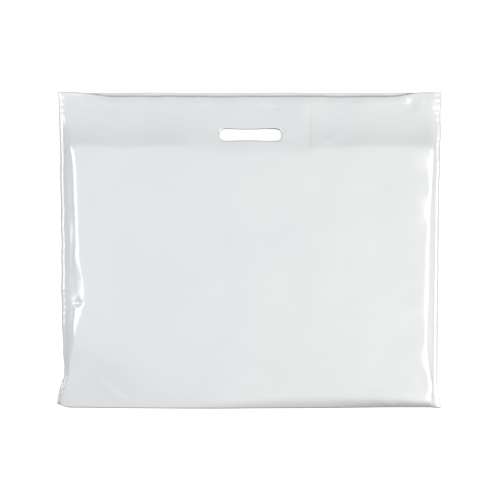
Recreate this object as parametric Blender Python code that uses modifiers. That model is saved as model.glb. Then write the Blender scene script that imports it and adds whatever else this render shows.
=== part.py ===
"""A patch-handle carrier bag of white polythene film, lying on its back.

The bag is made the way the real one is. One sheet of film is folded into a front panel, the two leaves
of a bottom gusset and a rear panel. Both sides are welded through every layer, a reinforcing patch is
glued inside each panel, and one hand slot is punched through film and patches together.

Units are metres, +Z is up. The origin is the middle of the footprint, on the surface that the rear
panel lies on. X runs across the bag and +Y runs from the gusset to the mouth.
"""

import math

import bmesh
import bpy

# The bag laid flat
BAG_WIDTH = 0.559  # 22 in across
BAG_HEIGHT = 0.457  # 18 in from the gusset's fold to the mouth
GUSSET_DEPTH = 0.076  # 3 in of film folded in at the bottom
LEAF = GUSSET_DEPTH / 2

# Film, welds and folds
FILM = 0.0002  # modelled thickness of the film
LAYER_PITCH = 0.0003  # middle to middle of two layers that are folded or welded together
WELD_WIDTH = 0.004  # fused border along each side
WELD_COVER = 0.0001  # of fused film over the outermost layer on each side
WELD_THICKNESS = 3 * LAYER_PITCH + FILM + 2 * WELD_COVER
WELD_OVERHANG = 0.0003  # how far the fused border runs past the film's own edges

# The opened shape: a flat front at one height, soft shoulders, a low header and a gaping mouth
FRONT_HEIGHT = 0.030
SHOULDER_LEFT = 0.030  # width of the sloping film between the side weld and the flat front
SHOULDER_RIGHT = 0.020
SHOULDER_ROUNDING = 0.005
CORNER_REACH = 0.085  # how far the flattened bottom corners reach into the front
CORNER_SKEW = 0.9  # how fast a corner's slope dies out upwards, against how fast it does inwards
BOTTOM_CREASE_HEIGHT = 0.019  # of the front panel's bottom fold, in the middle of the bag
BOTTOM_ROUNDING = 0.026
HEADER_FOLD = 0.378  # height along the bag where the front starts to fall towards the mouth
LIP_HEIGHT = 0.0105
LIP_SET_BACK = 0.006  # the front lip ends this much lower than the rear one
LIP_CLOSING = 0.075  # the mouth narrows to the welds over this width
REAR_CURL = 0.034  # width over which the rear panel rises to the side weld

# The side weld's route
WELD_BOW = 0.008  # how far the bulge draws the sides in
WELD_HEIGHT = 0.011
WELD_CORNER_HEIGHT = 0.003
FLAT_CORNER = 0.044  # the corner below this height along the bag stays flat
BOTTOM_RISE = 0.080
TOP_FALL = 0.090

# Handle
SLOT_LENGTH = 0.092
SLOT_WIDTH = 0.0185
SLOT_CENTRE = 0.3965  # above the bottom fold
PATCH_WIDTH = 0.160
PATCH_BOTTOM = 0.363
PATCH_TOP = 0.433
PATCH_FILM = 0.0002
PATCH_DROP = 0.00055  # middle of the patch to the middle of the film that it is glued to
PUNCH_DEPTH = 4 * FRONT_HEIGHT

# Mesh stations
ROW_SPACING = 0.020
BOTTOM_ROWS = 4
LEAF_ROWS = 3
HEADER_ROWS = 5
MIDDLE_COLUMNS = 10
SHOULDER_COLUMNS = 6
PATCH_COLUMNS = 8


def smoothstep(t):
    """0 below 0, 1 above 1, and a smooth S between."""
    t = min(max(t, 0.0), 1.0)
    return t * t * (3 - 2 * t)


def soft_min(a, b, rounding):
    """The smaller of a and b, with the corner between them rounded as a hyperbola."""
    return (a + b - math.sqrt((a - b) ** 2 + rounding**2)) / 2


def half_width(v):
    """Distance from the bag's middle to the side weld's outer edge, at height v along the bag."""
    drawn_in = smoothstep(v / FLAT_CORNER) * (1 - smoothstep((v - LEAF) / (BAG_HEIGHT - LEAF)))
    return BAG_WIDTH / 2 - WELD_BOW * drawn_in


def weld_height(v):
    rise = smoothstep((v - FLAT_CORNER) / BOTTOM_RISE)
    fall = smoothstep((v - BAG_HEIGHT + TOP_FALL) / TOP_FALL)
    return WELD_CORNER_HEIGHT + (WELD_HEIGHT - WELD_CORNER_HEIGHT) * rise * (1 - fall)


def profile(v):
    """Height of the front along the bag's middle: rounded bottom, flat front, header that falls away."""
    if v < BOTTOM_ROUNDING:
        drop = (1 - v / BOTTOM_ROUNDING) ** 2
        return FRONT_HEIGHT - (FRONT_HEIGHT - BOTTOM_CREASE_HEIGHT) * drop
    if v < HEADER_FOLD:
        return FRONT_HEIGHT
    t = (v - HEADER_FOLD) / (BAG_HEIGHT - HEADER_FOLD)
    return LIP_HEIGHT + (FRONT_HEIGHT - LIP_HEIGHT) * (1 - t) ** 2


def front_height(x, v):
    """The front panel: the profile, cut down by a shoulder on each side and a slope at each corner."""
    inward = max(half_width(v) - WELD_WIDTH - abs(x), 0.0)
    base = weld_height(v) + 1.5 * LAYER_PITCH
    top = profile(v)
    shoulder = SHOULDER_LEFT if x < 0 else SHOULDER_RIGHT
    closing = smoothstep((v - HEADER_FOLD) / (BAG_HEIGHT - HEADER_FOLD))
    shoulder += (LIP_CLOSING - shoulder) * closing
    side = base + (top - base) * inward / shoulder
    from_corner = (inward + CORNER_SKEW * v) / CORNER_REACH
    corner = base + FRONT_HEIGHT * from_corner * min(inward / SHOULDER_RIGHT, 1.0)
    rounding = min(SHOULDER_ROUNDING, inward / 2)
    return soft_min(soft_min(top, side, rounding), max(corner, base), rounding)


def rear_height(x, v):
    """The rear panel: flat on the surface, and curling up to the weld along each side."""
    inward = max(half_width(v) - WELD_WIDTH - abs(x), 0.0)
    curl = max(1 - inward / REAR_CURL, 0.0) ** 2
    return FILM / 2 + (weld_height(v) - 1.5 * LAYER_PITCH - FILM / 2) * curl


def lip_back(x, v):
    """How far the front panel is drawn back from its height v, because it climbs over the flat front."""
    middle = smoothstep((half_width(v) - abs(x)) / LIP_CLOSING)
    return LIP_SET_BACK * middle * smoothstep((v - HEADER_FOLD) / (BAG_HEIGHT - HEADER_FOLD))


def front_point(side, v):
    x = side * half_width(v)
    return x, v - lip_back(x, v), front_height(x, v)


def rear_point(side, v):
    x = side * half_width(v)
    return x, v, rear_height(x, v)


def leaf_point(side, v, upper):
    """A gusset leaf runs straight from its panel's bottom fold in to the gusset's own fold."""
    x = side * half_width(v)
    edge_x = side * half_width(0)
    front_fold = front_height(edge_x, 0) - LAYER_PITCH / 2
    rear_fold = rear_height(edge_x, 0) + LAYER_PITCH / 2
    inner_fold = (front_fold + rear_fold) / 2
    depth = math.sqrt(LEAF**2 - ((front_fold - rear_fold) / 2) ** 2)
    share = v / LEAF
    outer, layer = (front_fold, 1) if upper else (rear_fold, -1)
    turn = layer * LAYER_PITCH * (share - 0.5)
    return x, depth * share, outer + (inner_fold - outer) * share + turn


def upper_leaf_point(side, v):
    return leaf_point(side, v, True)


def lower_leaf_point(side, v):
    return leaf_point(side, v, False)


def column_stations():
    """Places across the bag from -1 to 1: the weld, close columns on the shoulder, wide ones between."""
    half = BAG_WIDTH / 2
    weld = 1 - WELD_WIDTH / half
    shoulder = 1 - (WELD_WIDTH + REAR_CURL) / half
    right = [1.0]
    right += [weld + (shoulder - weld) * i / SHOULDER_COLUMNS for i in range(SHOULDER_COLUMNS)]
    right += [shoulder * (1 - i / MIDDLE_COLUMNS) for i in range(MIDDLE_COLUMNS)]
    return [-s for s in right] + [0.0] + right[::-1]


def header_rows():
    """Rows across the header, from its fold to the lip, with the patch's edges among them."""
    below = [HEADER_FOLD, (HEADER_FOLD + PATCH_BOTTOM) / 2, PATCH_BOTTOM]
    step = (PATCH_TOP - HEADER_FOLD) / HEADER_ROWS
    across = [PATCH_TOP - step * i for i in range(HEADER_ROWS)]
    return [BAG_HEIGHT, (BAG_HEIGHT + PATCH_TOP) / 2] + across + below


def film_rows():
    """The sheet's rows from the front lip, round the gusset, to the rear lip, as (function, height)."""
    bottom = [BOTTOM_ROUNDING * i / BOTTOM_ROWS for i in range(BOTTOM_ROWS + 1)] + [LEAF]
    count = round((PATCH_BOTTOM - LEAF) / ROW_SPACING)
    middle = [LEAF + (PATCH_BOTTOM - LEAF) * i / count for i in range(1, count)]
    leaf_rows = [LEAF * i / LEAF_ROWS for i in range(LEAF_ROWS + 1)]
    front = header_rows() + middle[::-1] + bottom[::-1]
    rear = [0.0, LEAF] + middle[::2] + [PATCH_BOTTOM, HEADER_FOLD, PATCH_TOP, BAG_HEIGHT]
    rows = [(front_point, v) for v in front]
    rows += [(upper_leaf_point, v) for v in leaf_rows]
    rows += [(lower_leaf_point, v) for v in leaf_rows[::-1]]
    return rows + [(rear_point, v) for v in rear]


def folded_grid(name, stations, rows):
    """A flat grid of film, each vertex then taken to its place in the fold."""
    mesh = bpy.data.meshes.new(name)
    grid = bmesh.new()
    bmesh.ops.create_grid(
        grid,
        x_segments=len(stations) - 1,
        y_segments=len(rows) - 1,
        size=0.5,
    )
    for vertex in grid.verts:
        column = round((vertex.co.x + 0.5) * (len(stations) - 1))
        row = round((0.5 - vertex.co.y) * (len(rows) - 1))
        place, v = rows[row]
        x, y, z = place(stations[column], v)
        vertex.co = (x, y - BAG_HEIGHT / 2, z)
    grid.to_mesh(mesh)
    grid.free()
    return mesh


def add_object(name, mesh, collection, material=None):
    item = bpy.data.objects.new(name, mesh)
    collection.objects.link(item)
    if material:
        mesh.materials.append(material)
    return item


def thicken(item, thickness):
    solidify = item.modifiers.new("Thickness", "SOLIDIFY")
    solidify.thickness = thickness
    solidify.offset = 0
    solidify.use_even_offset = True


def add_boolean(item, other, operation):
    boolean = item.modifiers.new(f"{operation.title()} {other.name}", "BOOLEAN")
    boolean.operation = operation
    boolean.object = other


def as_helper(item):
    item.hide_render = True
    item.display_type = "WIRE"


def weld_heights():
    """Heights along the weld, at the front panel's own rows, bottom first."""
    return sorted({v for place, v in film_rows() if place is front_point})


def weld_bar(side, helpers):
    """The fused border along one side: a thin bar that follows the weld and ties every layer together."""
    rows = [-WELD_OVERHANG] + weld_heights() + [BAG_HEIGHT + WELD_OVERHANG]

    def place(across, v):
        held = min(max(v, 0.0), BAG_HEIGHT)
        outer = half_width(held) + WELD_OVERHANG
        inward = (1 - across) / 2 * (WELD_WIDTH + WELD_OVERHANG)
        return side * (outer - inward), v, weld_height(held)

    name = "weld_right" if side > 0 else "weld_left"
    mesh = folded_grid(name, [-1.0, 1.0], [(place, v) for v in rows])
    bar = add_object(name, mesh, helpers)
    thicken(bar, WELD_THICKNESS)
    as_helper(bar)
    return bar


def slot_cutter(helpers):
    """The punch: a block with its upright edges rounded to nearly half its width, through both panels."""
    punch = bmesh.new()
    bmesh.ops.create_cube(punch, size=1)
    bmesh.ops.scale(punch, verts=punch.verts, vec=(SLOT_LENGTH, SLOT_WIDTH, PUNCH_DEPTH))
    upright = [e for e in punch.edges if e.verts[0].co.z * e.verts[1].co.z < 0]
    bmesh.ops.bevel(
        punch,
        geom=upright,
        offset=0.49 * SLOT_WIDTH,
        segments=6,
        profile=0.5,
        affect="EDGES",
    )
    mesh = bpy.data.meshes.new("slot_punch")
    punch.to_mesh(mesh)
    punch.free()
    cutter = add_object("slot_punch", mesh, helpers)
    cutter.location = (0, SLOT_CENTRE - BAG_HEIGHT / 2, 0)
    as_helper(cutter)
    return cutter


def patch_mesh(name, panel, drop):
    """A reinforcing patch, laid along a panel's own rows at a small distance inside the film."""
    rows = [v for v in header_rows() if PATCH_BOTTOM <= v <= PATCH_TOP]
    stations = [PATCH_WIDTH * (i / PATCH_COLUMNS - 0.5) for i in range(PATCH_COLUMNS + 1)]

    def place(x, v):
        _, y, z = panel(x / half_width(v), v)
        return x, y, z + drop

    return folded_grid(name, stations, [(place, v) for v in rows])


def plastic(name, colour, roughness):
    material = bpy.data.materials.new(name)
    material.use_nodes = True
    shader = material.node_tree.nodes["Principled BSDF"]
    shader.inputs["Base Color"].default_value = (*colour, 1)
    shader.inputs["Roughness"].default_value = roughness
    shader.inputs["Metallic"].default_value = 0
    return material


def build_film(collection, helpers, cutter, material):
    """The bag itself: folded, given its thickness, welded down both sides and punched."""
    mesh = folded_grid("bag_film", column_stations(), film_rows())
    film = add_object("bag_film", mesh, collection, material)
    thicken(film, FILM)
    for side in (-1, 1):
        add_boolean(film, weld_bar(side, helpers), "UNION")
    add_boolean(film, cutter, "DIFFERENCE")


def build_patch(name, panel, drop, collection, cutter, material):
    patch = add_object(name, patch_mesh(name, panel, drop), collection, material)
    thicken(patch, PATCH_FILM)
    add_boolean(patch, cutter, "DIFFERENCE")


def new_collection(name):
    collection = bpy.data.collections.new(name)
    bpy.context.scene.collection.children.link(collection)
    return collection


def main():
    for item in list(bpy.data.objects):
        bpy.data.objects.remove(item)
    bag = new_collection("carrier_bag")
    helpers = new_collection("helpers")
    film_white = plastic("film_white", (0.86, 0.87, 0.88), 0.3)
    patch_white = plastic("patch_white", (0.84, 0.85, 0.86), 0.4)
    cutter = slot_cutter(helpers)
    build_film(bag, helpers, cutter, film_white)
    build_patch("front_patch", front_point, -PATCH_DROP, bag, cutter, patch_white)
    build_patch("rear_patch", rear_point, PATCH_DROP, bag, cutter, patch_white)


main()
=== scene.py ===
# %% [markdown]
# # A white carrier bag
# A patch-handle carrier bag is one sheet of polythene film. The sheet is folded into a front panel, the
# two leaves of a bottom gusset and a rear panel. Both sides are welded, a patch is glued inside each
# panel, and one slot is punched through everything as the handle. Here the bag lies on its back, a little
# air inside it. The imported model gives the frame: every piece below is made in its coordinates, in
# metres, +Z up.

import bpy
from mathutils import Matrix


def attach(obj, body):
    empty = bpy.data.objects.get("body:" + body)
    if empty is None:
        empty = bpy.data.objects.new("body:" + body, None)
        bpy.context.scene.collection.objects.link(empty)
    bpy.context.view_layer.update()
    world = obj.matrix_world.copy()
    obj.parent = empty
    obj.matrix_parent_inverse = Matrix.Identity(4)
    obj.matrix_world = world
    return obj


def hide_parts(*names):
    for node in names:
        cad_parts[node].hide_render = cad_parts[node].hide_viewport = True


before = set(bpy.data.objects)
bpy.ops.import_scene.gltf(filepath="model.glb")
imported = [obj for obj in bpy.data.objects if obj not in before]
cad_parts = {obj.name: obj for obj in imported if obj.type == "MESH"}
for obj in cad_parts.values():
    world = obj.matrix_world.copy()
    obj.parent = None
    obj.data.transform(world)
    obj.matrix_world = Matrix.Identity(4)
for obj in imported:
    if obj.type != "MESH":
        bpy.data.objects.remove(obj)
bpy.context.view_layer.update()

# %% [markdown]
# ## The studio
# A bag that lies flat is best seen from straight above, so the camera looks down -Z with the mouth at the
# top. A long lens keeps the panel's edges nearly square to the view. Soft boxes stand along both sides
# only, one on the left and one on the right, and nothing shines along the bag's length, so slopes towards
# the mouth and the gusset go grey.

# %% Camera
import math

import bpy
import numpy as np

scene = bpy.context.scene
scene.view_settings.view_transform = "Standard"
VIEW_WIDTH = 0.7275  # floor width that the picture covers
CAMERA_HEIGHT = 2.5
CAMERA_X = 0.0007

camera_data = bpy.data.cameras.new("Camera")
camera_data.sensor_width = 36
camera_data.lens = camera_data.sensor_width * CAMERA_HEIGHT / VIEW_WIDTH
camera = bpy.data.objects.new("Camera", camera_data)
camera.location = (CAMERA_X, 0, CAMERA_HEIGHT)
scene.collection.objects.link(camera)
scene.camera = camera
print(f"lens {camera_data.lens:.0f} mm, {CAMERA_HEIGHT} m above the floor")


# %% Lights
def soft_box(name, place, target, size, power, colour):
    """A rectangular lamp at place, facing target, that lights the bag but isn't itself seen."""
    data = bpy.data.lights.new(name, "AREA")
    data.shape = "RECTANGLE"
    data.size, data.size_y = size
    data.energy = power
    data.color = colour
    lamp = bpy.data.objects.new(name, data)
    lamp.location = place
    aim = bpy.data.objects.new(f"{name} aim", None)
    aim.location = target
    for item in (lamp, aim):
        scene.collection.objects.link(item)
    facing = lamp.constraints.new("TRACK_TO")
    facing.target = aim
    facing.track_axis = "TRACK_NEGATIVE_Z"
    facing.up_axis = "UP_Y"
    lamp.visible_camera = False
    return lamp


soft_box("Left", (-1.66, 0.20, 1.45), (-0.25, 0, 0), (0.85, 2.1), 30, (0.91, 0.955, 1.0))
soft_box("Right", (1.64, -0.20, 1.58), (0.25, 0, 0), (1.2, 2.0), 46, (1.0, 1.0, 0.97))

world = bpy.data.worlds.new("Room")
world.use_nodes = True
scene.world = world

# %% [markdown]
# ## Shader maths as Python expressions
# A finish is a small network of nodes. Wiring it by hand hides the idea, so one class wraps a socket:
# adding or multiplying two wrapped sockets adds the Math node that does it. Every other node comes from
# one method that takes the node's type, its settings and the values or links of its sockets.


# %% Socket class
class Sock:
    """A node socket that Python's operators work on. Numbers may stand on either side."""

    def __init__(self, tree, socket):
        self.tree = tree
        self.socket = socket

    def math(self, operation, first, second):
        return add_node(self.tree, "ShaderNodeMath", {"operation": operation}, {0: first, 1: second})

    def __add__(self, other):
        return self.math("ADD", self, other)

    def __radd__(self, other):
        return self.math("ADD", other, self)

    def __mul__(self, other):
        return self.math("MULTIPLY", self, other)

    def __rmul__(self, other):
        return self.math("MULTIPLY", other, self)

    def ramp(self, low, high, to_low=0.0, to_high=1.0):
        """to_low where the value is below low, to_high where it is above high, and a straight way between."""
        settings = {"clamp": True}
        return add_node(
            self.tree,
            "ShaderNodeMapRange",
            settings,
            {0: self, 1: low, 2: high, 3: to_low, 4: to_high},
        )


def add_node(tree, kind, settings, inputs, output=0):
    """Any node: its settings first, then its sockets by name or number, each a value or a wrapped link."""
    node = tree.nodes.new(kind)
    for key, value in settings.items():
        setattr(node, key, value)
    for key, value in inputs.items():
        if isinstance(value, Sock):
            tree.links.new(value.socket, node.inputs[key])
        else:
            node.inputs[key].default_value = value
    return Sock(tree, node.outputs[output])


def blend_colours(tree, factor, first, second):
    """The first colour where the factor is 0, the second where it is 1."""
    first, second = (colour if isinstance(colour, Sock) else (*colour, 1) for colour in (first, second))
    inputs = {0: factor, 6: first, 7: second}
    return add_node(tree, "ShaderNodeMix", {"data_type": "RGBA"}, inputs, output=2)


# %% [markdown]
# ## Floor and room
# The floor is plain and pale. To the camera it glows, so that it stays white right up to the bag's edge;
# the glow doesn't light the bag, whose sides would otherwise be washed out from below.

# %% Floor
FLOOR_DEPTH = -0.0004
FLOOR_SIZE = 12.0
ROOM_LIGHT = 0.19

path = add_node(world.node_tree, "ShaderNodeLightPath", {}, {}, output="Is Camera Ray")
room = world.node_tree.nodes["Background"]
world.node_tree.links.new(path.ramp(0, 1, ROOM_LIGHT, 1.0).socket, room.inputs["Strength"])
room.inputs["Color"].default_value = (1, 1, 1, 1)

floor_mesh = bpy.data.meshes.new("Floor")
half_floor = FLOOR_SIZE / 2
floor_corners = [(x, y, FLOOR_DEPTH) for x, y in ((-1, -1), (1, -1), (1, 1), (-1, 1))]
floor_corners = [(x * half_floor, y * half_floor, z) for x, y, z in floor_corners]
floor_mesh.from_pydata(floor_corners, [], [(0, 1, 2, 3)])
floor = bpy.data.objects.new("Floor", floor_mesh)
scene.collection.objects.link(floor)

paper = bpy.data.materials.new("pale_floor")
paper.use_nodes = True
paper_shader = paper.node_tree.nodes["Principled BSDF"]
paper_shader.inputs["Base Color"].default_value = (0.40, 0.40, 0.40, 1)
paper_shader.inputs["Roughness"].default_value = 0.9
seen = add_node(paper.node_tree, "ShaderNodeLightPath", {}, {}, output="Is Camera Ray")
glow = blend_colours(paper.node_tree, seen, (0, 0, 0), (1, 1, 1))
paper.node_tree.links.new(glow.socket, paper_shader.inputs["Emission Color"])
paper_shader.inputs["Emission Strength"].default_value = 0.9
floor_mesh.materials.append(paper)
print("floor", FLOOR_SIZE, "m square")

# %% [markdown]
# ## Small tools for shapes
# Every surface below is a function on a grid: x across the bag and v up along it, from the bottom fold to
# the mouth. A few shapes keep coming back: a smooth step, the smaller of two heights with its corner
# rounded, a curve through a few given points, and a soft random swell.


# %% Shape tools
def smooth(t):
    """0 below 0, 1 above 1, and between them three t squared less two t cubed."""
    t = np.clip(t, 0, 1)
    return t * t * (3 - 2 * t)


def soft_min(a, b, rounding):
    """The smaller of a and b: half of their sum, less half the root of their difference squared plus
    rounding squared."""
    return (a + b - np.sqrt((a - b) ** 2 + rounding**2)) / 2


def soft_max(a, b, rounding):
    """The larger of a and b, rounded in the same way."""
    return -soft_min(-a, -b, rounding)


def curve_through(points, at):
    """A smooth curve through (place, value) points. Between two points it is a cubic, whose slope at each
    point is that of the chord between the point's two neighbours."""
    place, value = np.array(sorted(points), float).T
    slope = np.gradient(value, place)
    k = np.clip(np.searchsorted(place, at) - 1, 0, len(place) - 2)
    gap = place[k + 1] - place[k]
    t = np.clip((at - place[k]) / gap, 0, 1)
    start = (1 + 2 * t) * (1 - t) ** 2 * value[k] + t * (1 - t) ** 2 * gap * slope[k]
    end = t * t * (3 - 2 * t) * value[k + 1] + t * t * (t - 1) * gap * slope[k + 1]
    return start + end


def swell(x, v, length, seed, heading=0.0, spread=math.pi, count=14):
    """A soft random surface of about plus or minus 1: the sum of count plane waves, each a cosine of the
    distance along its own heading, with lengths within a third of the given one."""
    rng = np.random.default_rng(seed)
    total = np.zeros(np.broadcast(x, v).shape)
    for _ in range(count):
        angle = heading + rng.uniform(-spread, spread)
        number = 2 * math.pi / (length * rng.uniform(0.67, 1.33))
        total += np.cos(number * (x * math.cos(angle) + v * math.sin(angle)) + rng.uniform(0, 2 * math.pi))
    return total / math.sqrt(count)


def crease(x, v, start, end, width, height):
    """A fine ridge from start to end: height times a bell curve of the distance from the line, which dies
    out smoothly over the line's last quarter at each end."""
    sx, sv = start
    dx, dv = end[0] - sx, end[1] - sv
    t = np.clip(((x - sx) * dx + (v - sv) * dv) / (dx * dx + dv * dv), 0, 1)
    away = np.hypot(x - sx - t * dx, v - sv - t * dv)
    return height * np.exp(-((away / width) ** 2)) * smooth(4 * t) * smooth(4 - 4 * t)


def mound(x, v, centre, radii, height):
    """A smooth bump: height times a bell curve of the distance from centre, in units of the two radii."""
    return height * np.exp(-(((x - centre[0]) / radii[0]) ** 2) - ((v - centre[1]) / radii[1]) ** 2)


print("a curve through three points:", curve_through([(0, 0), (1, 1), (2, 0)], np.array([0.5, 1.0, 1.5])))

# %% [markdown]
# ## The bag's outline
# The sides aren't straight: the air inside draws them in, and the bottom corners, which stay flat, flare
# out again. Just inside each edge runs the weld, and further in the ridge where the front panel turns
# down to the weld. On the left the ridge wanders: it starts at the mouth's corner, runs furthest in at a
# pinch a third of the way up, and returns to the edge above the bottom corner. These lines are drawn as
# a pattern maker would, with a few points each.

# %% Outline and ridges
HEIGHT = 0.457  # from the bottom fold to the mouth
HALF_HEIGHT = HEIGHT / 2
LEFT_EDGE = [
    (-0.002, -0.2803), (0.005, -0.2800), (0.014, -0.2778), (0.025, -0.2752), (0.036, -0.2722),
    (0.050, -0.2690), (0.080, -0.2702), (0.156, -0.2727), (0.229, -0.2728), (0.320, -0.2743),
    (0.374, -0.2750), (0.418, -0.2765), (0.447, -0.2778), (0.457, -0.2788),
]
RIGHT_EDGE = [
    (-0.003, 0.2805), (0.006, 0.2768), (0.018, 0.2743), (0.040, 0.2730), (0.083, 0.2730),
    (0.156, 0.2735), (0.229, 0.2743), (0.302, 0.2752), (0.374, 0.2770), (0.418, 0.2779), (0.457, 0.2787),
]
LEFT_RIDGE = [
    (-0.002, -0.2760), (0.030, -0.2690), (0.048, -0.2640), (0.063, -0.2587), (0.078, -0.2555),
    (0.100, -0.2525), (0.121, -0.2510), (0.140, -0.2468), (0.161, -0.2430), (0.186, -0.2455),
    (0.215, -0.2492), (0.243, -0.2490), (0.301, -0.2515), (0.351, -0.2535), (0.364, -0.2552),
    (0.378, -0.2578), (0.393, -0.2605), (0.408, -0.2635), (0.422, -0.2668), (0.438, -0.2690),
    (0.457, -0.2748),
]
RIGHT_RIDGE = [
    (-0.003, 0.2625), (0.012, 0.2600), (0.030, 0.2612), (0.056, 0.2575), (0.085, 0.2550), (0.157, 0.2565),
    (0.229, 0.2577), (0.301, 0.2605), (0.351, 0.2625), (0.370, 0.2640), (0.418, 0.2655), (0.457, 0.2700),
]


def edge_wobble(v, seed):
    """Small wrinkles of the welded edge: two lengths of swell, one inside the other."""
    zero = np.zeros_like(v)
    coarse = swell(zero, v, 0.060, seed, math.pi / 2, 0.1)
    fine = swell(zero, v, 0.014, seed + 1, math.pi / 2, 0.1)
    return 0.00035 * coarse + 0.00012 * fine


print("points by hand:", len(LEFT_EDGE) + len(RIGHT_EDGE) + len(LEFT_RIDGE) + len(RIGHT_RIDGE))

# %% [markdown]
# ## Stations across and rows along
# The sheet is one grid. Its columns follow the outline: each column is a fixed mix of the edge, the weld,
# the ridge and the middle of the bag at its height, so mesh lines run along the ridge and take its bend
# cleanly. Columns and rows lie close together only where there is something small to shape: welds,
# ridges, the handle and the pinch.

# %% Stations
WELD_IN = 0.0056  # weld line, inward of the edge
SHOULDER_IN = 0.016  # fine columns reach this far inward of the ridge
STILL = 0.125  # columns nearer the middle than this run straight
SLOT_HALF = 0.0450
SLOT_X = 0.0012
SLOT_LOW, SLOT_HIGH = 0.3858, 0.4044
PATCH_HALF = 0.080
PATCH_LOW, PATCH_HIGH = 0.363, 0.433


def spaced(start, end, step):
    """Places from start to end, both included, no further than step apart."""
    count = max(int(math.ceil(abs(end - start) / step - 1e-6)), 1)
    return np.linspace(start, end, count + 1)


def joined(*runs):
    """Several runs of places, end to end, with the shared ends kept once."""
    return np.concatenate([runs[0]] + [run[1:] for run in runs[1:]])


middle_x = joined(
    spaced(-STILL, -PATCH_HALF - 0.008, 0.0046),
    spaced(-PATCH_HALF - 0.008, SLOT_X - SLOT_HALF, 0.0021),
    spaced(SLOT_X - SLOT_HALF, SLOT_X + SLOT_HALF, 0.0021),
    spaced(SLOT_X + SLOT_HALF, PATCH_HALF + 0.008, 0.0021),
    spaced(PATCH_HALF + 0.008, STILL, 0.0046),
)


def column_keys(v):
    """The lines that the columns follow, from left to right, each as its x at height v."""
    left = curve_through(LEFT_EDGE, v) + edge_wobble(v, 11)
    right = curve_through(RIGHT_EDGE, v) + edge_wobble(v, 21)
    left_ridge = np.maximum(curve_through(LEFT_RIDGE, v), left + WELD_IN + 0.001)
    right_ridge = np.minimum(curve_through(RIGHT_RIDGE, v), right - WELD_IN - 0.001)
    still = np.full_like(v, STILL)
    return [
        left, left + WELD_IN, left_ridge, left_ridge + SHOULDER_IN, -still,
        still, right_ridge - SHOULDER_IN, right_ridge, right - WELD_IN, right,
    ]


FLANGE_COLUMNS, STRIP_COLUMNS, SHOULDER_COLUMNS, FREE_COLUMNS = 5, 15, 11, 23


def station_list():
    """Each column as (key on its left, share of the way to the next key)."""
    runs = [(0, FLANGE_COLUMNS), (1, STRIP_COLUMNS), (2, SHOULDER_COLUMNS), (3, FREE_COLUMNS)]
    left = [(key, i / count) for key, count in runs for i in range(count)]
    centre = [(4, (x + STILL) / (2 * STILL)) for x in middle_x[:-1]]
    right = [(8 - key, 1 - i / count) for key, count in runs for i in range(count)]
    return left + centre + sorted(right)


STATIONS = np.array(station_list())
STATION_KEY = STATIONS[:, 0].astype(int)
STATION_SHARE = STATIONS[:, 1]


def across(v):
    """x of every column at every row height v: the mix of the two keys that the column lies between."""
    keys = np.array(column_keys(v))
    low = keys[STATION_KEY].T
    high = keys[STATION_KEY + 1].T
    return low + (high - low) * STATION_SHARE


front_rows = joined(
    spaced(HEIGHT, PATCH_HIGH, 0.0022),
    spaced(PATCH_HIGH, SLOT_HIGH, 0.0021),
    spaced(SLOT_HIGH, SLOT_LOW, 0.0019),
    spaced(SLOT_LOW, 0.355, 0.0021),
    spaced(0.355, 0.172, 0.0050),
    spaced(0.172, 0.136, 0.0018),
    spaced(0.136, 0.030, 0.0046),
    spaced(0.030, 0.0, 0.0018),
)
rear_rows = joined(
    spaced(0.0, SLOT_LOW, 0.016),
    spaced(SLOT_LOW, SLOT_HIGH, 0.0045),
    spaced(SLOT_HIGH, 0.440, 0.010),
    spaced(0.440, HEIGHT, 0.0035),
)
LEAF = 0.038
leaf_rows = spaced(0, LEAF, 0.0065)
print(len(STATIONS), "columns;", len(front_rows), "front,", len(rear_rows), "rear rows")

# %% [markdown]
# ## The front panel's height
# Air and a folded sheet inside hold the front panel nearly flat, 30 mm above the table. At the mouth it
# falls to a low lip; at the bottom it turns down to the gusset, gently on the left and steeply on the
# right; along both sides it turns down to the weld. Each of these is a height of its own, and the film
# lies at the smallest of them, with the corners between them rounded: that rounding is what makes the
# bright ridges.

# %% Main heights
FLAT = 0.0292
LIP = 0.0105
FOLD_SIDE = 0.3775
FOLD_PATCH = 0.3720
WELD_TOP = 0.0110
FLANGE_SLOPE = 1.9
FLANGE_START = 0.0026
BOTTOM_DROP = [
    (-0.290, 0.0040), (-0.150, 0.0040), (-0.060, 0.0050), (-0.015, 0.0070), (0.030, 0.0105), (0.072, 0.0125),
    (0.116, 0.0150), (0.158, 0.0200), (0.200, 0.0240), (0.250, 0.0235), (0.290, 0.0220),
]  # how far the bottom fold lies below the flat front
BOTTOM_RUN = [
    (-0.290, 0.010), (-0.015, 0.014), (0.030, 0.0175), (0.072, 0.0205), (0.158, 0.0205), (0.210, 0.0185),
    (0.238, 0.0140), (0.290, 0.0130),
]  # length over which it falls


def weld_height(v):
    """The weld lies low in the bottom corners and at the mouth, and is lifted by the bulge between them."""
    points = [(0.0, 0.0034), (0.030, 0.0050), (0.075, 0.0100), (0.130, 0.0112), (0.250, 0.0110),
              (0.350, 0.0104), (0.400, 0.0078), (0.457, 0.0052)]
    return curve_through(points, v)


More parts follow.
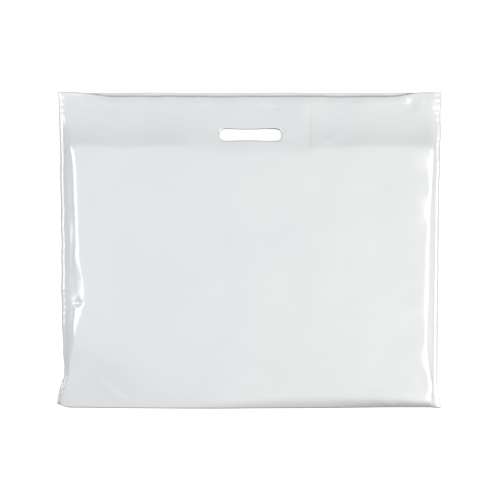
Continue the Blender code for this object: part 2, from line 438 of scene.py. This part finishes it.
def lengthwise(x, v):
    """The panel's height along the bag's middle, as a function of x too: the smaller of the mouth's fall,
    a power curve from the fold line to the lip, and the bottom's fall, steep and low on the right."""
    near_patch = smooth((0.100 - np.abs(x)) / 0.035)
    fold = FOLD_SIDE + (FOLD_PATCH - FOLD_SIDE) * near_patch + 0.0012 * np.sin(x / 0.023)
    t = (v - fold) / (HEIGHT - fold)
    blur = 0.05 + 0.05 * near_patch
    t = (t + np.sqrt(t * t + blur * blur)) / 2
    mouth = LIP + (FLAT - LIP) * np.clip(1 - t, 0, 1) ** (2.5 - 0.4 * near_patch)
    drop = curve_through(BOTTOM_DROP, x)
    run = curve_through(BOTTOM_RUN, x) + 0.0006 * np.sin(x / 0.009) * smooth((x - 0.05) / 0.10)
    s = np.clip(1 - v / run, 0, 1)
    bottom = FLAT - drop * s ** (1.5 + drop / 0.020)
    return np.minimum(mouth, bottom)


def side_wall(inward, ridge_in, facet_width, bead_slope, v, top):
    """Height at a distance inward of the edge: a steep flange up to the weld, a narrow bead along the weld,
    a strip that climbs steeply at first and less so further in, and a facet at FACET_SLOPE that meets the top.
    The facet is centred on the ridge line, at ridge_in from the edge."""
    weld = weld_height(v)
    facet_start = ridge_in - facet_width / 2 - WELD_IN
    facet_foot = top - FACET_SLOPE * facet_width
    facet = facet_foot + FACET_SLOPE * (inward - WELD_IN - facet_start)
    share = (inward - WELD_IN) / np.maximum(facet_start, 0.003)
    held = np.clip(share, 0, 1)
    swing = np.clip((facet_foot - weld) / np.maximum(facet_start, 0.003) - 0.60, 0, 0.4) / 0.4
    climb = share + swing * (0.110 * np.sin(math.pi * held) + 0.045 * np.sin(2 * math.pi * held))
    climb = weld + (facet_foot - weld) * climb
    shelf = weld + bead_slope * (inward - WELD_IN)
    past = inward - FLANGE_START
    flange = weld + np.where(past < 0, FLANGE_SLOPE * np.minimum(weld / WELD_TOP, 1), 6.0) * past
    wall = soft_min(climb, facet, FACET_ROUNDING)
    return soft_min(soft_max(wall, shelf, 0.0006), flange, 0.0006)


FACET_SLOPE = 0.38  # about the slope at which the ridge mirrors a lamp up to the camera
FACET_ROUNDING = 0.0012
TOP_ROUNDING = 0.0009
LEFT_FACET = [
    (-0.003, 0.0006), (0.060, 0.0008), (0.090, 0.0014), (0.121, 0.0036), (0.140, 0.0070), (0.150, 0.0030),
    (0.165, 0.0044), (0.186, 0.0092), (0.200, 0.0052), (0.215, 0.0034), (0.243, 0.0012), (0.301, 0.0010),
    (0.351, 0.0014), (0.457, 0.0028),
]
RIGHT_FACET = [
    (-0.003, 0.0035), (0.055, 0.0030), (0.090, 0.0012), (0.157, 0.0032), (0.229, 0.0022), (0.301, 0.0020),
    (0.358, 0.0040), (0.370, 0.0020), (0.390, 0.0008), (0.457, 0.0006),
]


def front_height(x, v):
    """The front panel: the lengthwise height, cut down by both side walls and by the flattened corners."""
    left_edge, _, left_ridge = column_keys(v)[:3]
    right_ridge, _, right_edge = column_keys(v)[-3:]
    from_left = x - left_edge
    from_right = right_edge - x
    inward = np.minimum(from_left, from_right)
    weld = weld_height(v)
    closing = smooth((v - FOLD_SIDE) / (HEIGHT - FOLD_SIDE)) * (1 - smooth((inward - WELD_IN) / 0.070))
    top = lengthwise(x, v)
    top = top + (weld + 0.0006 - top) * closing
    bead = 0.38 - 0.20 * smooth((v - 0.350) / 0.030)
    left = side_wall(from_left, left_ridge - left_edge, curve_through(LEFT_FACET, v), bead, v, top)
    right = side_wall(from_right, right_edge - right_ridge, curve_through(RIGHT_FACET, v), 0.15, v, top)
    height = soft_min(soft_min(top, left, TOP_ROUNDING), right, TOP_ROUNDING)
    left_corner = 0.0065 + 0.10 * (from_left - WELD_IN) + 0.22 * v
    right_corner = weld + 1.6 * (from_right - WELD_IN) + 2.4 * v
    height = soft_min(height, soft_max(left_corner, weld - 0.003, 0.001), 0.004)
    return soft_min(height, soft_max(right_corner, weld - 0.003, 0.001), 0.002)


print("height in the middle:", front_height(np.array([[0.0]]), np.array([[0.2]])).item())

# %% [markdown]
# ## What makes it look like film
# Thin film keeps a record of how it was packed and handled. It was folded into a pad, so faint straight
# creases cross it in both directions. The glued patch prints through as a rectangle with puckers along
# its edges. One side is pinched, the mouth's right corner is dented, and the header has a few short
# creases.

# %% Details of the front
PINCH = (-0.2462, 0.1520)
PACK_COLUMNS = (-0.1425, -0.0180, 0.1045)
PACK_ROWS = (0.0560, 0.1860)


def packing_folds(x, v):
    """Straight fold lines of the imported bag: at each one the film bends by a hair, the height being a small
    slope times the distance from the line, fading over a hand's width."""
    height = np.zeros(np.broadcast(x, v).shape)
    for i, line in enumerate(PACK_COLUMNS):
        away = x - line + 0.002 * np.sin(v / 0.05 + i)
        bend = 0.008 * (-1) ** i
        height += bend * (np.sqrt(away**2 + 0.0015**2) - 0.0015) * np.exp(-((away / 0.045) ** 2))
    for i, line in enumerate(PACK_ROWS):
        away = v - line + 0.0015 * np.sin(x / 0.06 + i)
        bend = 0.007 * (-1) ** i
        height += bend * (np.sqrt(away**2 + 0.0015**2) - 0.0015) * np.exp(-((away / 0.040) ** 2))
    return height


def pinch(x, v):
    """A buckle in the left ridge: a four-sided pit with straight edges, narrow across and tall along."""
    away = np.abs((x - PINCH[0]) / 0.0085) + np.abs((v - PINCH[1]) / 0.0090)
    pit = -0.0034 * soft_max(1 - away, 0, 0.10)
    lip = mound(x, v, (PINCH[0] - 0.0050, PINCH[1] - 0.010), (0.004, 0.007), 0.0007)
    return pit + lip


def patch_print(x, v):
    """The glued patch seen through the film: a low plateau with soft edges, and puckers along its rim."""
    across_edge = smooth((PATCH_HALF - np.abs(x)) / 0.0022 + 0.5)
    along_edge = smooth((v - PATCH_LOW) / 0.0022 + 0.5) * smooth((PATCH_HIGH - v) / 0.0022 + 0.5)
    inside = across_edge * along_edge
    top_rim = np.exp(-(((v - PATCH_HIGH + 0.002) / 0.006) ** 2))
    low_rim = np.exp(-(((v - PATCH_LOW - 0.006) / 0.008) ** 2))
    puckers = swell(x, v * 0.25, 0.011, 31, 0.0, 0.5)
    return inside * (0.00016 + 0.00016 * puckers * top_rim + 0.00013 * puckers * low_rim)


HEADER_CREASES = [
    ((0.0420, 0.4420), (0.0250, 0.4250), 0.0040, -0.0006),
    ((0.1370, 0.4000), (0.1050, 0.3830), 0.0050, 0.0009),
    ((0.0860, 0.4400), (0.0850, 0.3660), 0.0035, -0.0010),
    ((0.0905, 0.4420), (0.0895, 0.3640), 0.0025, 0.0005),
    ((-0.0140, 0.4330), (-0.0140, 0.4060), 0.0016, -0.0003),
    ((-0.1650, 0.4520), (-0.1640, 0.4230), 0.0022, 0.0006),
    ((-0.2350, 0.4520), (-0.1950, 0.4300), 0.0030, -0.0004),
    ((-0.0740, 0.4500), (-0.0800, 0.4300), 0.0060, 0.0005),
    ((0.1500, 0.4530), (0.1620, 0.4080), 0.0120, 0.0007),
    ((0.2160, 0.4400), (0.2330, 0.3960), 0.0035, 0.0006),
    ((0.2430, 0.4440), (0.2360, 0.4200), 0.0030, 0.0007),
]
PANEL_CREASES = [
    ((-0.2290, 0.0450), (-0.1750, 0.0070), 0.0035, 0.0006),
    ((-0.2180, 0.0560), (-0.1600, 0.0100), 0.0060, -0.0005),
    ((-0.2140, 0.2430), (-0.1360, 0.2440), 0.0022, -0.0003),
    ((-0.1650, 0.3450), (-0.0950, 0.3100), 0.0070, -0.0007),
    ((-0.1350, 0.3250), (-0.0500, 0.2700), 0.0090, 0.0006),
    ((0.1420, 0.3450), (0.1430, 0.3050), 0.0030, 0.0005),
    ((0.1120, 0.2200), (0.1500, 0.2000), 0.0050, -0.0004),
    ((0.0800, 0.1750), (0.1300, 0.1500), 0.0050, 0.0004),
    ((-0.0400, 0.1100), (0.0200, 0.0800), 0.0060, 0.0004),
    ((0.1900, 0.0110), (0.2160, 0.0020), 0.0030, 0.0014),
    ((0.2260, 0.0120), (0.2080, 0.0010), 0.0025, -0.0012),
]


def corner_dent(x, v):
    """The mouth's right corner is pushed in: a shallow hollow with a sharp lip on its right."""
    hollow = mound(x, v, (0.2360, 0.4400), (0.0100, 0.0170), -0.0026)
    lip = crease(x, v, (0.2520, 0.4520), (0.2400, 0.4180), 0.0030, 0.0013)
    return hollow + lip


def film_relief(x, v):
    """Everything that is too small for the main heights, added together."""
    inward = np.minimum(x - column_keys(v)[0], column_keys(v)[-1] - x)
    on_panel = smooth((inward - 0.004) / 0.030)
    relief = 0.00038 * swell(x, v, 0.105, 1) + 0.00012 * swell(x, v, 0.042, 2)
    relief += 0.00005 * swell(x, v, 0.020, 3, math.pi / 2, 0.5)
    relief = relief * on_panel + packing_folds(x, v) * on_panel
    for start, end, width, height in HEADER_CREASES + PANEL_CREASES:
        relief += crease(x, v, start, end, width, height)
    near_weld = np.exp(-(((inward - 0.006) / 0.004) ** 2))
    strip = np.exp(-(((inward - 0.012) / 0.010) ** 2))
    relief += near_weld * (0.00016 * swell(x, v, 0.007, 5, math.pi / 2, 0.4))
    relief += strip * 0.00045 * swell(x, v, 0.075, 6, math.pi / 2, 0.35)
    return relief + patch_print(x, v) + pinch(x, v) + corner_dent(x, v)


probe = film_relief(*np.meshgrid(np.linspace(-0.2, 0.2, 400), np.linspace(0.05, 0.35, 300)))
print(f"relief on the flat panel: {probe.min() * 1000:.2f} to {probe.max() * 1000:.2f} mm")

# %% [markdown]
# ## The handle slot
# The slot is punched through the folded bag, so front, rear and patches get the same outline. Instead of
# cutting the finished mesh, its faces inside a rectangle are left out and the mesh lines around the
# rectangle are drawn onto the punch's outline: full round on the left, a little squarer on the right, and
# narrower in the middle, because the film there has sprung back.

# %% Slot
SLOT_V = (SLOT_LOW + SLOT_HIGH) / 2
SLOT_RADIUS = (SLOT_HIGH - SLOT_LOW) / 2


def draw_onto_slot(x, v):
    """Takes mesh lines round the slot onto its outline. At each end, a point at (p, q) from the arc's centre
    is scaled by the larger of p and q over their root of squares, which turns a square's edge into an
    arc."""
    dx = x - SLOT_X
    dv = v - SLOT_V
    side = np.sign(dx)
    p = np.maximum(np.abs(dx) - (SLOT_HALF - SLOT_RADIUS), 0)
    q = np.abs(dv)
    larger = np.maximum(p, q)
    away = np.maximum(larger - SLOT_RADIUS, 0)
    fade = 1 - smooth(away / 0.010)
    roundness = np.where(side < 0, 0.97, 0.80)
    shrink = 1 - fade * roundness * (1 - larger / np.maximum(np.hypot(p, q), 1e-9))
    at_end = p > 0
    new_x = np.where(at_end, SLOT_X + side * (SLOT_HALF - SLOT_RADIUS + p * shrink), x)
    new_v = np.where(at_end, SLOT_V + dv * shrink, v)
    waist = 0.0010 * smooth(1 - np.abs(dx + 0.004) / 0.034)
    waist_fade = 1 - smooth((q - SLOT_RADIUS) / 0.012)
    return new_x, new_v - np.sign(dv) * waist * np.minimum(waist_fade, q / SLOT_RADIUS)


def in_slot(x, v):
    """True for the cells of the grid that the punch takes out, from their middles."""
    return (np.abs(x - SLOT_X) < SLOT_HALF) & (np.abs(v - SLOT_V) < SLOT_RADIUS)


print("slot", 2000 * SLOT_HALF, "by", round(2000 * SLOT_RADIUS, 1), "mm")

# %% [markdown]
# ## Panels and gusset as one folded sheet
# The four layers are one sheet, so they are worked out as one grid, from the front lip down the front, in
# and out of the gusset, and up the rear to the rear lip. Layers that lie on each other are kept a third
# of a millimetre apart. The lips aren't quite straight, and the front one ends below the rear one,
# because the front has further to go over the bulge.

# %% Panels
FILM = 0.0002
PITCH = 0.0003
CURL = 0.034
LIP_BACK = 0.0058
LIP_DROOP = 0.0026
REAR_LIFT = 0.0036


def bottom_line(x):
    """How far above the bottom line the bottom fold really lies: the flat left corner curls up."""
    return 0.0046 * (1 - smooth((x + 0.2805) / 0.020)) - 0.0020 * smooth((x - 0.262) / 0.018)


def top_line(x):
    """The mouth's line: a little higher in the left corner."""
    return 0.0018 * (1 - smooth((x + 0.279) / 0.050)) + 0.0003 * np.sin(x / 0.031)


def placed(x, v, z):
    """x, y and z of a point at v along the bag, with the bottom and top lines' small bends."""
    bend = bottom_line(x) * (1 - smooth(v / 0.030)) + top_line(x) * smooth((v - 0.425) / 0.032)
    return np.stack([x, v - HALF_HEIGHT + bend, z], axis=-1)


def front_panel(x, v):
    """The front panel as points. Near the mouth it is drawn back to the front lip's line."""
    left, right = column_keys(v)[0], column_keys(v)[-1]
    open_mouth = smooth((x - left - 0.030) / 0.055) * smooth((right - x - 0.030) / 0.040)
    drawn_back = LIP_BACK * open_mouth * smooth((v - 0.425) / (HEIGHT - 0.425))
    waves = (0.0003 * swell(x, v * 0, 0.045, 41, 0, 0.1)) * smooth((v - 0.44) / 0.017)
    height = front_height(x, v) + film_relief(x, v)
    height += 0.0008 * swell(x, v * 0, 0.090, 42, 0, 0.1) * open_mouth * smooth((v - 0.415) / 0.042)
    height -= LIP_DROOP * open_mouth * np.clip((v - 0.443) / (HEIGHT - 0.443), 0, 1) ** 2
    return placed(x, v - drawn_back + waves, np.maximum(height, FILM / 2 + 3 * PITCH))


def rear_height(x, v):
    """The rear panel: flat on the table, and rising to just under the weld over the width of the curl. Under
    the flange it follows the front panel, three layers below."""
    left, right = column_keys(v)[0], column_keys(v)[-1]
    inward = np.minimum(x - left, right - x)
    under_flange = front_height(x, v) - 3 * PITCH
    weld = weld_height(v) - 3 * PITCH
    rise = np.clip(1 - (inward - WELD_IN) / CURL, 0, 1) ** 2
    ripples = 0.0004 * swell(x, v, 0.050, 51, math.pi / 2, 0.4) * rise
    free = weld * rise + ripples
    flange = 1 - smooth((inward - FLANGE_START) / 0.003)
    return np.maximum(free + (under_flange - free) * flange, FILM / 2)


def rear_panel(x, v):
    """The rear panel as points. Its lip curls up a little between the two welded corners."""
    left, right = column_keys(v)[0], column_keys(v)[-1]
    open_mouth = smooth((x - left - 0.030) / 0.055) * smooth((right - x - 0.030) / 0.040)
    lip = np.clip((v - 0.440) / (HEIGHT - 0.440), 0, 1) ** 1.5 * open_mouth
    waves = 0.15 * swell(x, v * 0, 0.070, 61, 0, 0.1)
    return placed(x, v, rear_height(x, v) + REAR_LIFT * lip * (1 + waves))


def leaf_panel(x, v, upper):
    """A gusset leaf: straight from its panel's bottom fold to the gusset's own fold, which lies halfway
    between the two. It bows a little, as film that was folded flat does when it is pulled open."""
    bottom = np.zeros_like(v)
    front_z = front_panel(x, bottom)[..., 2] - PITCH / 2
    rear_z = rear_panel(x, bottom)[..., 2] + PITCH / 2
    middle_z = (front_z + rear_z) / 2
    outer_z = front_z if upper else rear_z
    share = v / LEAF
    depth = np.sqrt(LEAF**2 - ((front_z - rear_z) / 2) ** 2)
    layer = 1 if upper else -1
    bow = layer * (PITCH * (share - 0.5) + 0.10 * (front_z - rear_z) * share * (1 - share))
    points = placed(x, bottom, outer_z + (middle_z - outer_z) * share + bow)
    points[..., 1] += depth * share
    return points


def grid_at(rows):
    """x and v of every grid point for these rows, with the lines round the slot drawn onto its outline."""
    v = rows[:, None] + np.zeros(len(STATIONS))
    return draw_onto_slot(across(rows), v)


def whole_sheet():
    """Points of the folded sheet, layer after layer."""
    front = grid_at(front_rows)
    rear = grid_at(rear_rows)
    leaf_x, leaf_v = across(leaf_rows), leaf_rows[:, None] + np.zeros(len(STATIONS))
    layers = [
        front_panel(*front),
        leaf_panel(leaf_x, leaf_v, True),
        leaf_panel(leaf_x, leaf_v, False)[::-1],
        rear_panel(*rear),
    ]
    return layers


sheet_layers = whole_sheet()
print("rows in each layer:", [len(layer) for layer in sheet_layers])

# %% [markdown]
# ## From points to a mesh
# A grid of points becomes a mesh when each cell's four corners are listed as a face. The first layer runs
# from the mouth down, so its faces have to be listed the other way round from the usual order to point
# outwards; the rest follow, because it is one sheet. Solidify then gives the film its thickness.


# %% Mesh builders
def cells(rows, columns):
    """The four corners of every cell of a grid with this many rows and columns of points."""
    corner = np.arange(rows * columns).reshape(rows, columns)
    return np.stack([corner[:-1, :-1], corner[1:, :-1], corner[1:, 1:], corner[:-1, 1:]], axis=-1)


def mesh_from(name, points, faces):
    """A smooth-shaded object from points and four-cornered faces; points that no face uses are dropped."""
    used = np.unique(faces)
    renumber = np.zeros(len(points), int)
    renumber[used] = np.arange(len(used))
    mesh = bpy.data.meshes.new(name)
    mesh.from_pydata(points[used], [], renumber[faces])
    mesh.shade_smooth()
    mesh.update()
    item = bpy.data.objects.new(name, mesh)
    scene.collection.objects.link(item)
    return item


def thicken(item, thickness):
    """Gives a sheet its thickness, half to each side."""
    solidify = item.modifiers.new("Thickness", "SOLIDIFY")
    solidify.thickness = thickness
    solidify.offset = 0
    solidify.use_even_offset = False


def punched(x, v):
    """True for cells, given at the middle of their four corners, that the punch takes out."""
    middle_x = (x[:-1, :-1] + x[1:, :-1] + x[1:, 1:] + x[:-1, 1:]) / 4
    middle_v = (v[:-1, :-1] + v[1:, :-1] + v[1:, 1:] + v[:-1, 1:]) / 4
    return in_slot(middle_x, middle_v)


# %% The bag
def build_bag():
    """The whole folded sheet as one object. Neighbouring layers share the row of points at their fold."""
    layers = sheet_layers
    points = np.concatenate([layers[0], layers[1][1:], layers[2], layers[3][1:]])
    hole = np.zeros((len(points) - 1, len(STATIONS) - 1), bool)
    hole[: len(front_rows) - 1] = punched(across(front_rows), front_rows[:, None] + 0 * STATION_SHARE)
    hole[-(len(rear_rows) - 1):] = punched(across(rear_rows), rear_rows[:, None] + 0 * STATION_SHARE)
    faces = cells(*points.shape[:2])[~hole]
    bag = mesh_from("carrier_bag_film", points.reshape(-1, 3), faces)
    thicken(bag, FILM)
    return bag


bag = build_bag()
print(len(bag.data.polygons), "faces, doubled by the thickness")

# %% [markdown]
# ## The glued patches
# Inside each panel, round the slot, a patch of thicker film is glued. It can be seen through the mouth
# and at the slot's edge. A patch is the panel's own surface again, a third of a millimetre further in, on
# a grid of its own.

# %% Patches
PATCH_GAP = 0.00035


def build_patch(name, panel, inward):
    """A patch that follows the panel, moved inward by PATCH_GAP, with the same slot."""
    x = joined(
        spaced(-PATCH_HALF, SLOT_X - SLOT_HALF, 0.003),
        spaced(SLOT_X - SLOT_HALF, SLOT_X + SLOT_HALF, 0.003),
        spaced(SLOT_X + SLOT_HALF, PATCH_HALF, 0.003),
    )
    v = joined(
        spaced(PATCH_HIGH, SLOT_HIGH, 0.003),
        spaced(SLOT_HIGH, SLOT_LOW, 0.003),
        spaced(SLOT_LOW, PATCH_LOW, 0.003),
    )
    flat_x, flat_v = np.meshgrid(x, v)
    points = panel(*draw_onto_slot(flat_x, flat_v))
    points[..., 2] += inward * PATCH_GAP
    faces = cells(len(v), len(x))[~punched(flat_x, flat_v)]
    patch = mesh_from(name, points.reshape(-1, 3), faces)
    thicken(patch, FILM)
    return patch


front_patch = build_patch("front_handle_patch", front_panel, -1)
rear_patch = build_patch("rear_handle_patch", rear_panel, 1)
print("patches:", front_patch.name, rear_patch.name)

# %% [markdown]
# ## The film's finish
# White polythene is smooth and a little see-through, with a satin shine that is sharper where the film is
# stretched and duller where it was rubbed in the pad. Its white is never quite even. Roughness and colour
# vary in soft patches, and two bumps lie over the shape: fine lines drawn out along the film as it was
# blown, and a net of small handling wrinkles. All of them read Object coordinates, so they stay put from
# every side.


# %% Film material
def noise(tree, place, scale, detail=2.0, roughness=0.5, stretch=(1, 1, 1)):
    """Noise from 0 to 1 in a pattern that repeats about scale times a metre, longer along small stretches."""
    mapped = add_node(tree, "ShaderNodeMapping", {}, {"Vector": place, "Scale": stretch})
    sockets = {"Vector": mapped, "Scale": scale, "Detail": detail, "Roughness": roughness}
    return add_node(tree, "ShaderNodeTexNoise", {}, sockets)


def plastic_film(name, white, shade, roughness):
    """Satin white film: white and shade are the two ends of its colour, roughness the middle of its shine."""
    material = bpy.data.materials.new(name)
    material.use_nodes = True
    tree = material.node_tree
    shader = tree.nodes["Principled BSDF"]
    place = add_node(tree, "ShaderNodeTexCoord", {}, {}, output="Object")
    clouds = noise(tree, place, 9.0, 3.0).ramp(0.3, 0.7)
    colour = blend_colours(tree, clouds, shade, white)
    tree.links.new(colour.socket, shader.inputs["Base Color"])

    shader.inputs["Specular IOR Level"].default_value = 1.0
    rubbed = noise(tree, place, 26.0, 4.0, 0.6)
    shine = rubbed.ramp(0.3, 0.7, roughness - 0.05, roughness + 0.07)
    tree.links.new(shine.socket, shader.inputs["Roughness"])

    drawn = noise(tree, place, 60.0, 2.0, 0.5, (1.0, 0.12, 1.0))
    net = noise(tree, place, 95.0, 5.0, 0.62)
    grain = noise(tree, place, 900.0, 2.0)
    height = drawn * 0.35 + net * 0.45 + grain * 0.03
    bump = add_node(
        tree, "ShaderNodeBump", {}, {"Strength": 0.22, "Distance": 0.0012, "Height": height}
    )
    tree.links.new(bump.socket, shader.inputs["Normal"])
    return material


film = plastic_film("white_film", (0.80, 0.805, 0.81), (0.78, 0.785, 0.795), 0.20)
patch_film = plastic_film("patch_film", (0.76, 0.77, 0.78), (0.74, 0.75, 0.76), 0.28)
bag.data.materials.append(film)
for patch in (front_patch, rear_patch):
    patch.data.materials.append(patch_film)
print("materials:", film.name, patch_film.name)

# %% [markdown]
# ## Tie the pieces to the frame
# Each piece rides on the imported body and stands for the plain solid that it replaces.

# %% Ride, replace
for piece, node, slot in (
    (bag, "bag_film", "film"),
    (front_patch, "front_patch", "patch"),
    (rear_patch, "rear_patch", "patch"),
):
    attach(piece, "root")
    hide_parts(node)
